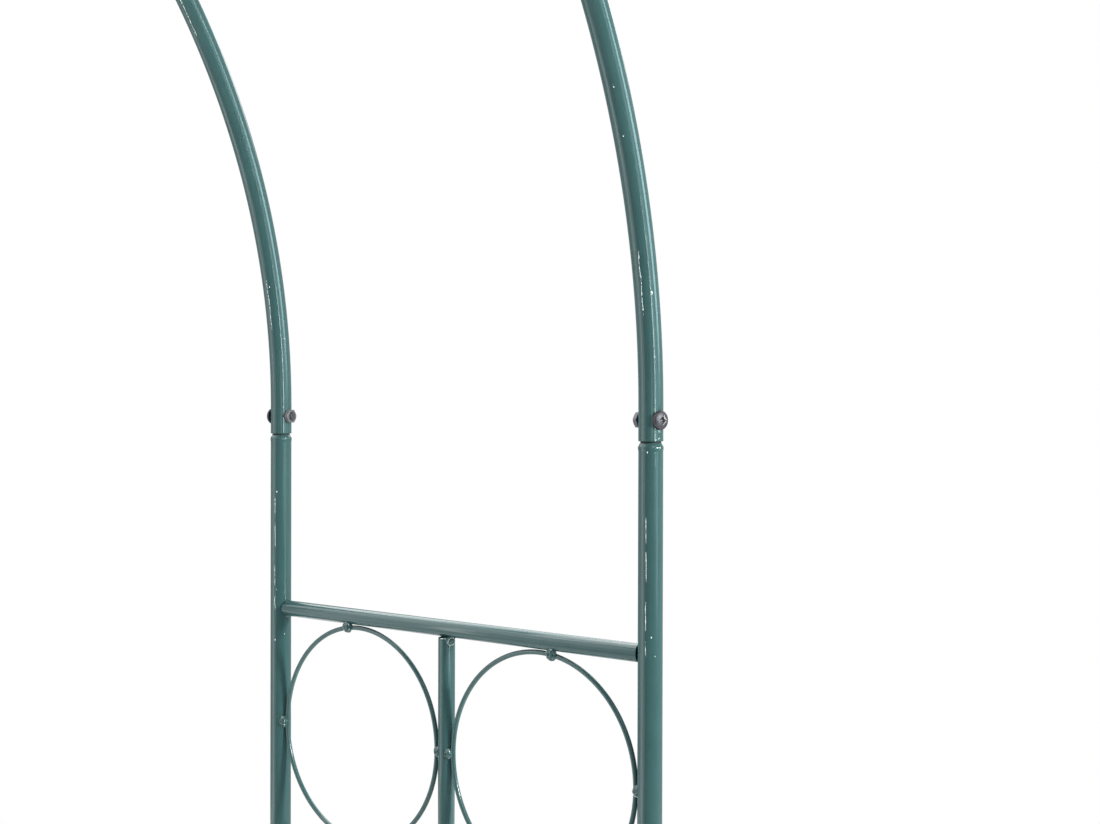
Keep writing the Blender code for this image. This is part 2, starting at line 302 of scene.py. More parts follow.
def swage_radius(below):
    """Outer radius at a distance below the end of the shoulder: a bead, then a cone down to the neck."""
    if below >= SHOULDER + BEAD:
        return TUBE_RADIUS
    if below >= SHOULDER:
        return TUBE_RADIUS + BEAD_RISE * sin(pi / 2 * (SHOULDER + BEAD - below) / BEAD) ** 2
    part = below / SHOULDER
    slope = 1 / (1 - SHOULDER_ROUNDING / 2)
    climb = slope * part
    if part > 1 - SHOULDER_ROUNDING:
        climb = 1 - slope / (2 * SHOULDER_ROUNDING) * (1 - part) ** 2
    return SHOULDER_FOOT + (TUBE_RADIUS + BEAD_RISE - SHOULDER_FOOT) * climb


def evenly(first, last, step):
    count = max(1, round(abs(last - first) / step))
    return [first + (last - first) * k / count for k in range(count + 1)]


def jointed_stations(length, bottom_rounding, swaged, dense_spots, pitch):
    """Stations up the outside, over the top end and down the bore."""
    top = length - SHOULDER - BEAD if swaged else length - TUBE_EDGE
    heights = set(evenly(FIRST_STATION, top, pitch))
    for spot in dense_spots:
        heights.update(evenly(spot - DENSE_REACH, spot + DENSE_REACH, DENSE_STEP))
    outside = [(h, TUBE_RADIUS) for h in sorted(heights) if FIRST_STATION <= h <= top]
    if swaged:
        neck_end = length + NECK_LENGTH
        neck_bore = NECK_RADIUS - WALL
        below = evenly(SHOULDER + BEAD, 0.0, SHOULDER_STEP)[1:]
        outside += [(length - drop, swage_radius(drop)) for drop in below]
        outside += [(length + 0.0001, NECK_RADIUS), (neck_end - NECK_LEAD, NECK_RADIUS),
                    (neck_end, NECK_RADIUS - TUBE_EDGE)]
        inside = [(z, neck_bore) for z in (neck_end, length + NECK_THROAT, length - SHOULDER * 0.3)]
    else:
        outside += [(length - 0.0001, TUBE_RADIUS - 0.0001), (length, TUBE_RADIUS - TUBE_EDGE)]
        inside = [(length, TUBE_RADIUS - WALL)]
    bore = [(h, TUBE_RADIUS - WALL) for h in evenly(top, FIRST_STATION, max(pitch, 0.004))]
    rim_height = RIM_SHRINK if bottom_rounding == RIM_ROUND else 0.0
    return rounded_rim(rim_height, TUBE_RADIUS, bottom_rounding) + outside + inside + bore


def screw_axis(side, end):
    """Which way a side joint's screw head faces: outward, and a little round towards the path."""
    return Vector((-side * sin(SCREW_TURN), end * cos(SCREW_TURN), 0))


def seat_head(bm, axis, height):
    """Tightening the screw presses a small flat into the tube under the head."""
    flat = TUBE_RADIUS - HEAD_FLAT
    for vert in bm.verts:
        away = abs(vert.co.z - height) / HEAD_FLAT_REACH
        proud = vert.co.dot(axis) - flat
        if away < 1.0 and proud > 0.0:
            vert.co -= axis * proud * (1 - away ** 4)


def gather_coat(bm, shoulder):
    """The powder gathers in small lumps on the shoulder and the bead."""
    for vert in bm.verts:
        below = shoulder - vert.co.z
        reach = vert.co.xy.length
        if -0.0003 < below < SHOULDER + 2 * BEAD and reach > NECK_RADIUS - 0.0002:
            fade = min(1.0, (SHOULDER + 2 * BEAD - below) / BEAD)
            lump = max(0.0, noise.noise(vert.co * LUMPS_PER_METRE)) * LUMP_DEPTH * fade
            vert.co.x *= 1 - lump / reach
            vert.co.y *= 1 - lump / reach


def plain_mesh(bm, name, sharp=SHARP):
    mesh = bpy.data.meshes.new(name)
    bmesh.ops.recalc_face_normals(bm, faces=bm.faces)
    bm.to_mesh(mesh)
    bm.free()
    mesh.shade_smooth()
    mesh.set_sharp_from_angle(angle=radians(sharp))
    return mesh


def show(name, mesh):
    made = bpy.data.objects.new(name, mesh)
    bpy.context.scene.collection.objects.link(made)
    return made


def place_piece(name, mesh, *nodes, slot="tube_paint"):
    """Shows a piece of the fixed body and hides the nodes it stands for."""
    piece = show(name, mesh)
    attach(piece, "root")
    if nodes:
        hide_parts(*nodes)


def settle(carrier):
    """What the modifiers of a carrier make of its mesh, as a plain mesh."""
    result = bpy.data.meshes.new_from_object(carrier.evaluated_get(bpy.context.evaluated_depsgraph_get()))
    bpy.data.objects.remove(carrier, do_unlink=True)
    return result


def grow(points_mesh, name, tree, values):
    """Runs a node tree on a mesh and returns its result as a plain piece."""
    carrier = show(name + "_points", points_mesh)
    modifier = carrier.modifiers.new("nodes", 'NODES')
    modifier.node_group = tree
    for item in tree.interface.items_tree:
        if item.item_type == 'SOCKET' and item.in_out == 'INPUT' and item.name in values:
            modifier[item.identifier] = values[item.name]
    carrier.update_tag()
    result = settle(carrier)
    result.name = name
    return result


def cut_and_join(mesh, steps, sharp=SHARP):
    """Uses other shapes on a mesh in turn, each with its name and the way it is used."""
    blank = show("blank", mesh)
    tools = []
    for name, bm, operation in steps:
        step = blank.modifiers.new(name, 'BOOLEAN')
        step.operation = operation
        step.object = show(name, plain_mesh(bm, name))
        tools.append(step.object)
    result = settle(blank)
    for tool in tools:
        bpy.data.objects.remove(tool, do_unlink=True)
    result.materials.clear()
    result.shade_smooth()
    result.set_sharp_from_angle(angle=radians(sharp))
    return result


def drill_across(mesh, holes):
    """Bores the screw holes through both walls, each at a height and along an axis."""
    drills = bmesh.new()
    for height, axis in holes:
        matrix = Matrix.Translation((0, 0, height)) @ axis.to_track_quat('Z', 'Y').to_matrix().to_4x4()
        bmesh.ops.create_cone(drills, cap_ends=True, segments=24, radius1=HOLE_RADIUS, radius2=HOLE_RADIUS,
                              depth=3 * TUBE_RADIUS, matrix=matrix)
    return cut_and_join(mesh, [("drills", drills, 'DIFFERENCE')])


def shape_group(name, inputs):
    return new_group(name, 'GeometryNodeTree', {"Geometry": 'Geometry', **inputs}, {"Geometry": 'Geometry'})


def noted(tree, name, carried='FLOAT'):
    return field(tree, 'GeometryNodeInputNamedAttribute', {"Name": name}, data_type=carried)


def circle(tree, corners, radius):
    return field(tree, 'GeometryNodeCurvePrimitiveCircle', {"Resolution": corners, "Radius": radius})


def joined(tree, *parts):
    join = add_node(tree, 'GeometryNodeJoinGeometry', {})
    for part in parts:
        tree.links.new(part, join.inputs[0])
    return join.outputs[0]


def real(tree, instances):
    return field(tree, 'GeometryNodeRealizeInstances', {"Geometry": instances})


def finished(tree, shape, finish, where=True):
    return field(tree, 'GeometryNodeSetMaterial', {
        "Geometry": shape, "Selection": where, "Material": finish})


def give(tree, result, shape):
    tree.links.new(shape, result["Geometry"])
    return tree


def relief_group():
    """Beads along the carrier's edges and a nib on each of its loose points."""
    tree, given, result = shape_group("coat_relief", {
        "Seam Radius": 'Float', "Beads": 'Float', "Nib Radius": 'Float', "Finish": 'Material'})
    size = noted(tree, "size")
    swell = spread(tree, grain(tree, given["Beads"], 2.0), 0.3, 1.25, 0.36, 0.62)
    beads = field(tree, 'GeometryNodeCurveToMesh', {
        "Curve": field(tree, 'GeometryNodeMeshToCurve', {"Mesh": given["Geometry"]}),
        "Profile Curve": circle(tree, 6, given["Seam Radius"]),
        "Scale": times(tree, size, swell), "Fill Caps": True})
    neighbours = field(tree, 'GeometryNodeInputMeshVertexNeighbors', {})
    ball = field(tree, 'GeometryNodeMeshIcoSphere', {"Radius": given["Nib Radius"], "Subdivisions": 2})
    upright = field(tree, 'ShaderNodeCombineXYZ', {0: size, 1: size, 2: times(tree, size, 1.5)})
    nibs = field(tree, 'GeometryNodeInstanceOnPoints', {
        "Points": given["Geometry"], "Selection": reckon(tree, 'LESS_THAN', neighbours, 0.5),
        "Instance": ball, "Scale": upright})
    both = joined(tree, beads, real(tree, nibs))
    smooth = field(tree, 'GeometryNodeSetShadeSmooth', {"Geometry": both})
    return give(tree, result, finished(tree, smooth, given["Finish"]))


relief_tree = relief_group()


def point_mesh(name, places, edges=(), **notes):
    """A mesh of points with a value noted at each, or a vector where there are three to a point."""
    mesh = bpy.data.meshes.new(name)
    mesh.from_pydata(places, edges, [])
    for note, values in notes.items():
        kind, item = ('FLOAT_VECTOR', "vector") if len(values) > len(places) else ('FLOAT', "value")
        mesh.attributes.new(note, kind, 'POINT').data.foreach_set(item, values)
    return mesh


# Relief coloured with painted glints.
def glint_painted_relief(name, places, edges, sizes, radius=SEAM_RADIUS):
    return grow(point_mesh(name, places, edges, size=sizes), name, relief_tree, {
        "Seam Radius": radius, "Beads": SEAM_BEADS, "Nib Radius": NIB_RADIUS, "Finish": glint_painted_coat})


def add_row(places, edges, row):
    """Adds points, each joined to the one before."""
    edges += [(len(places) + k, len(places) + k + 1) for k in range(len(row) - 1)]
    places += row


def coat_relief(node, side, length, stretches, middle):
    """What stands up from a straight tube: beads left along its weld seam by the scarfing knife,
    and nibs of dust in the coat, each at a height and degrees round from the camera's side."""
    chance = random.Random(node)
    nibs = [(chance.uniform(0.02, length - 0.02), chance.uniform(0, 360), chance.uniform(0.6, 1.2))
            for _ in range(round(length * NIBS_PER_METRE))]

    def on_wall(angle, radius, z):
        return middle + Vector((cos(angle), sin(angle), 0)) * radius + Vector((0, 0, z))

    places = []
    sizes = []
    edges = []
    for z, degrees, size in NEAR_NIBS.get(node, nibs):
        places.append(on_wall(radians(CAMERA_SIDE + degrees), TUBE_RADIUS - NIB_RADIUS / 3, z))
        sizes.append(size)
    for first, last in stretches:
        row = []
        for z in evenly(first, last, SEAM_STEP):
            angle = SEAM_ANGLES[side] + 0.05 * noise.noise(Vector((z * 90, SEAM_ANGLES[side], 2.5)))
            row.append(on_wall(angle, TUBE_RADIUS - SEAM_SUNK, z))
            sizes.append(max(0.05, min(1.0, (z - first) / SEAM_TAPER, (last - z) / SEAM_TAPER)))
        add_row(places, edges, row)
    # The beads and nibs are coloured with painted glints.
    return glint_painted_relief(node + "_relief", places, edges, sizes)


def jointed_tube(name, side, length, rounding, swaged, seats, holes, pitch):
    """A tube along Z with its ends, the seats of its screw heads and the holes across it."""
    stations = jointed_stations(length, rounding, swaged, [height for height, _ in seats], pitch)
    tube = sleeve(stations, TUBE_SEGMENTS, TUBE_RADIUS, SEAM_ANGLES[side])
    if swaged:
        gather_coat(tube, length)
    for height, axis in seats:
        seat_head(tube, axis, height)
    return drill_across(plain_mesh(tube, name), holes)


def coat_tube(mesh, lowest):
    """The coat everywhere except on the swaged neck, which starts at a height on the straight tube and is
    given painted shade.
    """
    mesh.materials.append(tube_coat)
    mesh.materials.append(painted_slot_shade)
    for face in mesh.polygons:
        face.material_index = 1 if face.center.z > lowest and face.center.xy.length < SHOULDER_FOOT else 0


def box_of(node):
    """The lowest corner, the highest one and the middle of a node's box."""
    low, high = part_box(node)
    return low, high, (low + high) / 2


def at_corners(*pieces):
    """The node of each piece at each corner, with its side, its end and what box_of says."""
    for side_name, side in SIDES.items():
        for end_name, end in ENDS.items():
            for piece in pieces:
                node = f"{side_name}_{end_name}_{piece}"
                yield node, side, end, *box_of(node)


for node, side, end, low, high, middle in at_corners("lower_upright", "upper_upright"):
    foot = Vector((middle.x, middle.y, low.z))
    length = high.z - low.z - NECK_LENGTH
    axis = screw_axis(side, end)
    seats = [(SCREW_ABOVE_RIM, axis)] if "upper" in node else []
    holes = [(length + RIM_GAP + SCREW_ABOVE_RIM, axis)] + seats
    rounding = RIM_ROUND if seats else TUBE_EDGE
    mesh = jointed_tube(node, side, length, rounding, True, seats, holes, UPRIGHT_PITCH)
    coat_tube(mesh, length)
    mesh.transform(Matrix.Translation(foot))
    place_piece("coated_" + node, mesh, node)
    place_piece("relief_of_" + node, coat_relief(node, side, length, UPRIGHT_SEAMS, foot))

# Foot plugs
# A black moulded plastic plug closes the bottom of each lower upright: a round flange under the
# tube, pushed in on a ribbed spigot, matt and slightly scuffed where it stands.
FLANGE = 0.003
FLANGE_ROUNDING = 0.0008
SPIGOT_PLAY = 0.0002
PLUG_RIBS = 6
RIB_PITCH = 0.002
RIB_DEPTH = 0.0006
PLASTIC_BLACK = (0.014, 0.014, 0.015, 1.0)
PLASTIC_SCUFFED = (0.045, 0.044, 0.042, 1.0)


def plastic_finish():
    made, tree, shader = surface_finish("black_foot_plastic", IOR=1.46)
    spot = on_object(tree)
    grit = grain(tree, 1400.0, 2.0, spot)
    scuff = grain(tree, 260.0, 4.0, spot)
    colour = blend(tree, spread(tree, scuff, 0.0, 1.0, 0.55, 0.75), PLASTIC_BLACK, PLASTIC_SCUFFED)
    dress(tree, shader, colour, spread(tree, scuff, 0.42, 0.66), times(tree, grit, 0.00003))
    return made


def turned(profile, steps):
    """A closed profile of radii and heights, turned round Z."""
    bm = bmesh.new()
    points = [bm.verts.new((radius, 0, z)) for radius, z in profile]
    edges = [bm.edges.new(pair) for pair in zip(points, points[1:])]
    bmesh.ops.spin(bm, geom=points + edges, cent=(0, 0, 0), axis=(0, 0, 1), angle=tau, steps=steps)
    bmesh.ops.remove_doubles(bm, verts=bm.verts, dist=1e-6)
    return bm


def foot_plug(radius, height):
    spigot = TUBE_RADIUS - WALL - SPIGOT_PLAY
    profile = [(0.0, 0.0), (radius * 0.55, 0.0)]
    profile += [(out, z) for z, out in rounded_rim(0.0, radius, FLANGE_ROUNDING, 4)]
    profile += [(radius, FLANGE - 0.0004), (radius - 0.0003, FLANGE), (spigot, FLANGE)]
    for k in range(PLUG_RIBS):
        foot = FLANGE + 0.001 + RIB_PITCH * k
        profile += [(spigot - RIB_DEPTH, foot), (spigot, foot + 0.0004), (spigot, foot + 0.0010),
                    (spigot - RIB_DEPTH, foot + 0.0014)]
    return turned(profile + [(spigot - 2 * RIB_DEPTH, height), (0.0, height)], 48)


foot_plastic = plastic_finish()
for node, _, _, low, high, middle in at_corners("foot_plug"):
    mesh = plain_mesh(foot_plug((high.x - low.x) / 2, high.z - low.z), node)
    mesh.transform(Matrix.Translation((middle.x, middle.y, low.z)))
    mesh.materials.append(foot_plastic)
    place_piece("moulded_" + node, mesh, node, slot="foot_plastic")

# Rails, mullions and roof bars
# Straight 12 mm tube, sawn and butted against round tube, the rails' ends roughly dressed to it, so a
# dark wedge shows on each side of the joint. Each is held by weld tacks and coated with the rest.
BAR_RADIUS = 0.006
BAR_SEGMENTS = 56
SAWN_EDGE = 0.00035
DRESSED_LENGTH = 0.002
END_DRESSING = 0.4
LEVEL_BARS = ["base_rail", "lower_top_rail", "bottom_rail", "ring_rail", "top_rail",
              "roof_bar_low", "roof_bar_high"]
MULLIONS = ["lower_mullion", "upper_mullion", "ring_mullion"]
LAY_DOWN = Matrix.Rotation(-pi / 2, 4, 'X') @ Matrix.Rotation(-pi / 2, 4, 'Z')


def sawn_tube(length, name):
    rim = rounded_rim(0.0, BAR_RADIUS, SAWN_EDGE, 3)
    stations = rim + [(length - z, radius) for z, radius in reversed(rim)]
    stations += [(length, BAR_RADIUS - WALL), (0.0, BAR_RADIUS - WALL)]
    return plain_mesh(sleeve(stations, BAR_SEGMENTS, BAR_RADIUS, 0.0), name)


def dress_ends(mesh, low, high):
    """The sides of a rail's end reach a little way round the upright."""
    for vert in mesh.vertices:
        aside = vert.co.x - (low.x + high.x) / 2
        reach = END_DRESSING * (TUBE_RADIUS - sqrt(TUBE_RADIUS ** 2 - aside ** 2))
        if vert.co.y < low.y + DRESSED_LENGTH:
            vert.co.y -= reach
        elif vert.co.y > high.y - DRESSED_LENGTH:
            vert.co.y += reach


for side_name in SIDES:
    for bar_name in LEVEL_BARS + MULLIONS:
        node = f"{side_name}_{bar_name}"
        low, high, middle = box_of(node)
        if bar_name in MULLIONS:
            mesh = sawn_tube(high.z - low.z, node)
            mesh.transform(Matrix.Translation((middle.x, middle.y, low.z)))
        else:
            mesh = sawn_tube(high.y - low.y, node)
            mesh.transform(Matrix.Translation((middle.x, low.y, middle.z)) @ LAY_DOWN)
            if not bar_name.startswith("roof"):
                dress_ends(mesh, low, high)
        mesh.materials.append(tube_coat)
        place_piece("coated_" + node, mesh, node)

# Rings
# Four-millimetre steel rod bent round and butt-welded, two in each side under the top rail. They
# touch the rails, the mullion and the upright, and stand a little proud towards the path.
ROD_STEPS = 160
ROD_SIDES = 24
BUTT_STEP = ROD_STEPS * 0.77
BUTT_STEPS = 1.2
BUTT_SWELL = 0.10
rod_coat = coated_finish("green_coat_on_rod", PAINT_ROUGHNESS + 0.04)


def rod_ring(centre, ring_radius, rod_radius):
    bm = bmesh.new()
    rings = []
    for step in range(ROD_STEPS):
        turn = tau * step / ROD_STEPS
        outward = Vector((0, cos(turn), sin(turn)))
        thick = rod_radius * (1 + BUTT_SWELL * exp(-((step - BUTT_STEP) / BUTT_STEPS) ** 2))
        ring = []
        for k in range(ROD_SIDES):
            around = tau * k / ROD_SIDES
            offset = outward * cos(around) + Vector((1, 0, 0)) * sin(around)
            ring.append(bm.verts.new(centre + outward * ring_radius + offset * thick))
        rings.append(ring)
    skin(bm, rings)
    return bm


for node, _, _, low, high, middle in at_corners("ring"):
    rod_radius = (high.x - low.x) / 2
    mesh = plain_mesh(rod_ring(middle, (high.z - low.z) / 2 - rod_radius, rod_radius), node)
    mesh.materials.append(rod_coat)
    place_piece("coated_" + node, mesh, node)

# Weld tacks
# Each joint is held by one or two electric tacks, a nugget of metal about 6 mm across with a
# sunken middle, left as it cooled and coated over. A ridge round each tack's crest and part of the
# mullions' sawn edges carry painted highlights: pale coat where light would glint.
TACK_RADIUS = 0.0034
TACK_RISE = 0.0022
TACK_WAVE = 7.5
TACK_SINK = -0.24
TACK_LUMPS = 420.0
TACK_LUMP_DEPTH = 0.0012
TACK_SEED = 4
LEAST_STRETCH = (0.85, 0.85, 0.85)
MOST_STRETCH = (1.15, 1.15, 1.1)
FULL_TURN = (0, 0, tau)
RIM_REACH = 0.77
RIM_HEIGHT = 0.60
RIM_THICKNESS = 0.00022
DOWN = Vector((0, 0, -1))
TACK_SUNK = 0.95
RAIL_TACK = 0.95
RAIL_TACK_LEAN = 0.5
RAIL_TACK_ASIDE = 0.72
RAIL_TACK_PAST = 0.0012
UNDER_TACK = 0.6
UNDER_TACK_PAST = 0.0006
MULLION_TACK = 1.15
MULLION_TACK_ASIDE = 0.32
MULLION_TACK_OUT = 0.95
MULLION_TACK_LEAN = 0.25
MULLION_TACK_UP = 0.002
RING_TACK = 1.25
RING_TACK_INSET = 0.0005
RING_TACKS = ((90, 0.0108, -0.0012), (-90, -0.004, 0.0012), (0, 0.0018, -0.0006), (180, -0.0018, -0.0006))
RING_TACK_PROUD = 0.0016
EDGE_ARC = (178, 215)
weld_coat = coated_finish("green_coat_on_weld", PAINT_ROUGHNESS, PEEL_DEPTH * 3)


def larger(tree, first, second):
    return reckon(tree, 'MAXIMUM', first, second)


def xyz(tree):
    place = field(tree, 'GeometryNodeInputPosition', {})
    return add_node(tree, 'ShaderNodeSeparateXYZ', {"Vector": place}).outputs


def by_chance(tree, least, most, seed):
    return field(tree, 'FunctionNodeRandomValue', {"Min": least, "Max": most, "Seed": seed},
                 data_type='FLOAT_VECTOR')


def tack_group():
    tree, given, result = shape_group("weld_tacks", {
        "Radius": 'Float', "Rise": 'Float', "Lump Size": 'Float', "Lump Depth": 'Float',
        "Rim Thickness": 'Float', "Seed": 'Int', "Finish": 'Material', "Rim Highlight Finish": 'Material'})
    x, y, z = xyz(tree)
    out = reckon(tree, 'SQRT', plus(tree, reckon(tree, 'POWER', x, 2.0), reckon(tree, 'POWER', y, 2.0)))
    ripple = times(tree, reckon(tree, 'COSINE', times(tree, out, TACK_WAVE)), TACK_SINK)
    crown = plus(tree, z, times(tree, larger(tree, z, 0.0), ripple))
    shaped = field(tree, 'GeometryNodeSetPosition', {
        "Geometry": field(tree, 'GeometryNodeMeshUVSphere', {"Segments": 28, "Rings": 18, "Radius": 1.0}),
        "Position": field(tree, 'ShaderNodeCombineXYZ', {
            0: times(tree, x, given["Radius"]), 1: times(tree, y, given["Radius"]),
            2: times(tree, crown, given["Rise"])})})
    rim = field(tree, 'GeometryNodeCurveToMesh', {
        "Curve": circle(tree, 48, times(tree, given["Radius"], RIM_REACH)),
        "Profile Curve": circle(tree, 6, given["Rim Thickness"]),
        "Scale": spread(tree, grain(tree, 500.0, 1.0), 0.4, 1.2, 0.35, 0.65)})
    lift = field(tree, 'ShaderNodeCombineXYZ', {2: times(tree, given["Rise"], RIM_HEIGHT)})
    crest = field(tree, 'GeometryNodeTransform', {"Geometry": rim, "Translation": lift})
    marked = field(tree, 'GeometryNodeStoreNamedAttribute', {"Geometry": crest, "Name": "rim", "Value": 1.0},
                   data_type='FLOAT', domain='FACE')

    aligned = field(tree, 'FunctionNodeAlignRotationToVector', {
        "Vector": noted(tree, "facing", 'FLOAT_VECTOR')}, axis='Z')
    seated = field(tree, 'GeometryNodeInstanceOnPoints', {
        "Points": given["Geometry"], "Instance": joined(tree, shaped, marked), "Rotation": aligned,
        "Scale": noted(tree, "size")})
    rolled = field(tree, 'GeometryNodeRotateInstances', {
        "Instances": seated, "Rotation": by_chance(tree, (0, 0, 0), FULL_TURN, given["Seed"])})
    varied = field(tree, 'GeometryNodeScaleInstances', {
        "Instances": rolled, "Scale": by_chance(tree, LEAST_STRETCH, MOST_STRETCH, given["Seed"])})
    lumps = swing(tree, grain(tree, given["Lump Size"], 1.0), given["Lump Depth"])
    offset = field(tree, 'ShaderNodeVectorMath', {
        0: field(tree, 'GeometryNodeInputNormal', {}), "Scale": lumps}, operation='SCALE')
    lumpy = field(tree, 'GeometryNodeSetPosition', {"Geometry": real(tree, varied), "Offset": offset})
    smooth = field(tree, 'GeometryNodeSetShadeSmooth', {"Geometry": lumpy})
    coated = finished(tree, smooth, given["Finish"])
    on_rim = reckon(tree, 'GREATER_THAN', noted(tree, "rim"), 0.5)
    return give(tree, result, finished(tree, coated, given["Rim Highlight Finish"], on_rim))


def tack_marks():
    """Each tack's place, the way it faces and its size: those whose rim is painted pale highlight in spots,
    and those whose rim is mostly painted pale highlight.
    """
    marks = []
    highlighted_tacks = []
    for side_name, side in SIDES.items():
        path = Vector((-side, 0, 0))
        for bar_name in LEVEL_BARS:
            low, high, middle = box_of(f"{side_name}_{bar_name}")
            for end in ENDS.values():
                at_end = Vector((middle.x, high.y if end > 0 else low.y, middle.z))
                inward = Vector((0, -end * RAIL_TACK_LEAN, 0))
                outer = at_end - path * (BAR_RADIUS * RAIL_TACK_ASIDE) + Vector((0, end * RAIL_TACK_PAST, 0))
                under = at_end + Vector((0, end * UNDER_TACK_PAST, -BAR_RADIUS))
                marks += [(outer, inward - path, RAIL_TACK), (under, inward + DOWN, UNDER_TACK)]
        for bar_name in MULLIONS:
            low, high, middle = box_of(f"{side_name}_{bar_name}")
            facing = Vector((-side * MULLION_TACK_ASIDE, -MULLION_TACK_OUT, 0))
            for z, up in ((low.z, 1), (high.z, -1)):
                spot = Vector((middle.x, middle.y, z + up * MULLION_TACK_UP))
                spot += facing * BAR_RADIUS * TACK_SUNK
                highlighted_tacks.append((spot, facing + Vector((0, 0, up * MULLION_TACK_LEAN)), MULLION_TACK))
        for end_name, end in ENDS.items():
            low, high, middle = box_of(f"{side_name}_{end_name}_ring")
            reach = (high.z - low.z) / 2 - RING_TACK_INSET
            for turn, shift, rise in RING_TACKS:
                angle = radians(turn)
                spot = middle + Vector((0, end * cos(angle), sin(angle))) * reach
                spot += path * RING_TACK_PROUD + Vector((0, end * shift, rise))
                marks.append((spot, path, RING_TACK))
    return marks, highlighted_tacks


def highlighted_sawn_edges():
    """A painted highlight: part of the sawn edge at each end of a mullion, a thin ridge coloured pale."""
    places = []
    edges = []
    for side_name, side in SIDES.items():
        for bar_name in MULLIONS:
            low, high, middle = box_of(f"{side_name}_{bar_name}")
            for z in (low.z + SAWN_EDGE, high.z - SAWN_EDGE):
                turns = [radians(turn) for turn in evenly(*EDGE_ARC, 4)]
                add_row(places, edges, [(middle.x + side * BAR_RADIUS * cos(turn),
                                         middle.y + BAR_RADIUS * sin(turn), z) for turn in turns])
    return glint_painted_relief("pale_sawn_edges", places, edges, [1.0] * len(places), SEAM_RADIUS * 1.5)


tack_tree = tack_group()
# Painted highlights on the tack rims: pale in spots on most tacks, mostly pale on the mullions' tacks.
spotted_glint_coat = painted_glint_finish("green_coat_painted_glint_spots", 0.46, 0.62)
for name, marks, rim_highlight_finish in zip(("weld_tacks", "pale_weld_tacks"), tack_marks(),
                                   (spotted_glint_coat, glint_painted_coat)):
    places, facings, sizes = zip(*marks)
    directions = [value for facing in facings for value in facing.normalized()]
    place_piece(name, grow(point_mesh(name, places, facing=directions, size=sizes), name, tack_tree, {
        "Radius": TACK_RADIUS, "Rise": TACK_RISE, "Lump Size": TACK_LUMPS, "Lump Depth": TACK_LUMP_DEPTH,
        "Rim Thickness": RIM_THICKNESS, "Seed": TACK_SEED, "Finish": weld_coat, "Rim Highlight Finish": rim_highlight_finish}))
place_piece("pale_sawn_edges", highlighted_sawn_edges())

# Hoops
# Four quarter hoops of the same tube, rolled cold on a three-roll bender with a short straight left
# at each end. The left ones are swaged for the crown joint, the right ones slide over them.
HOOP_STRAIGHT = 0.021
HOOP_PITCH = 0.008
CROWN_GAP = RIM_GAP / 2
HOOP_SEAMS = ((0.079, 0.124), (0.310, 0.352), (0.540, 0.560))
NEAR_NIBS["right_front_hoop"] = ((0.0022, 40, 1.0), (0.0013, 22, 1.0), (0.054, 21, 1.0), (0.095, 22, 2.0),
                                 (0.195, -12, 0.9), (0.226, -10, 1.0))


def roll_group():
    """Bends straight tube along Z round the roof's curve, between two lengths that stay straight."""
    tree, given, result = shape_group("roll_hoop", {
        "Straight": 'Float', "Bend Radius": 'Float', "Half Span": 'Float', "Side": 'Float',
        "Foot Height": 'Float', "Finish": 'Material'})
    x, y, z = xyz(tree)
    bend = given["Bend Radius"]
    beyond = larger(tree, reckon(tree, 'SUBTRACT', z, given["Straight"]), 0.0)
    turn = reckon(tree, 'MINIMUM', reckon(tree, 'DIVIDE', beyond, bend), pi / 2)
    past = reckon(tree, 'SUBTRACT', beyond, times(tree, turn, bend))
    reach = plus(tree, bend, times(tree, x, given["Side"]))
    cosine = reckon(tree, 'COSINE', turn)
    sine = reckon(tree, 'SINE', turn)
    out = plus(tree, reckon(tree, 'SUBTRACT', given["Half Span"], bend), times(tree, reach, cosine))
    out = reckon(tree, 'SUBTRACT', out, times(tree, past, sine))
    up = plus(tree, given["Foot Height"], reckon(tree, 'MINIMUM', z, given["Straight"]),
              times(tree, reach, sine), times(tree, past, cosine))
    place = field(tree, 'ShaderNodeCombineXYZ', {0: times(tree, out, given["Side"]), 1: y, 2: up})
    rolled = field(tree, 'GeometryNodeSetPosition', {"Geometry": given["Geometry"], "Position": place})
    return give(tree, result, finished(tree, real(tree, rolled), given["Finish"]))


roll_hoop = roll_group()
for node, side, end, low, high, middle in at_corners("hoop"):
    foot = Vector((0, middle.y, 0))
    half_span = max(abs(low.x), abs(high.x)) - TUBE_RADIUS
    bend_radius = half_span - HOOP_STRAIGHT
    length = 2 * HOOP_STRAIGHT + bend_radius * pi / 2 - CROWN_GAP
    swaged = side < 0
    crown_hole = length + RIM_GAP + SCREW_ABOVE_RIM if swaged else length - SCREW_ABOVE_RIM + CROWN_GAP
    holes = [(SCREW_ABOVE_RIM, screw_axis(side, end)), (crown_hole, Vector((0, end, 0)))]
    seats = holes[:1] if swaged else holes
    straight = jointed_tube(node, side, length, RIM_ROUND, swaged, seats, holes, HOOP_PITCH)
    straight.transform(Matrix.Translation(foot))
    bend = {"Straight": HOOP_STRAIGHT, "Bend Radius": bend_radius, "Half Span": half_span,
            "Side": float(side), "Foot Height": low.z, "Finish": tube_coat}
    place_piece("coated_" + node, grow(straight, node, roll_hoop, bend), node)
    relief = coat_relief(node, side, length, HOOP_SEAMS, foot)
    # The hoop's seam beads and nibs carry painted glints.
    place_piece("relief_of_" + node, grow(relief, node + "_relief", roll_hoop, {
        **bend, "Finish": glint_painted_coat}))

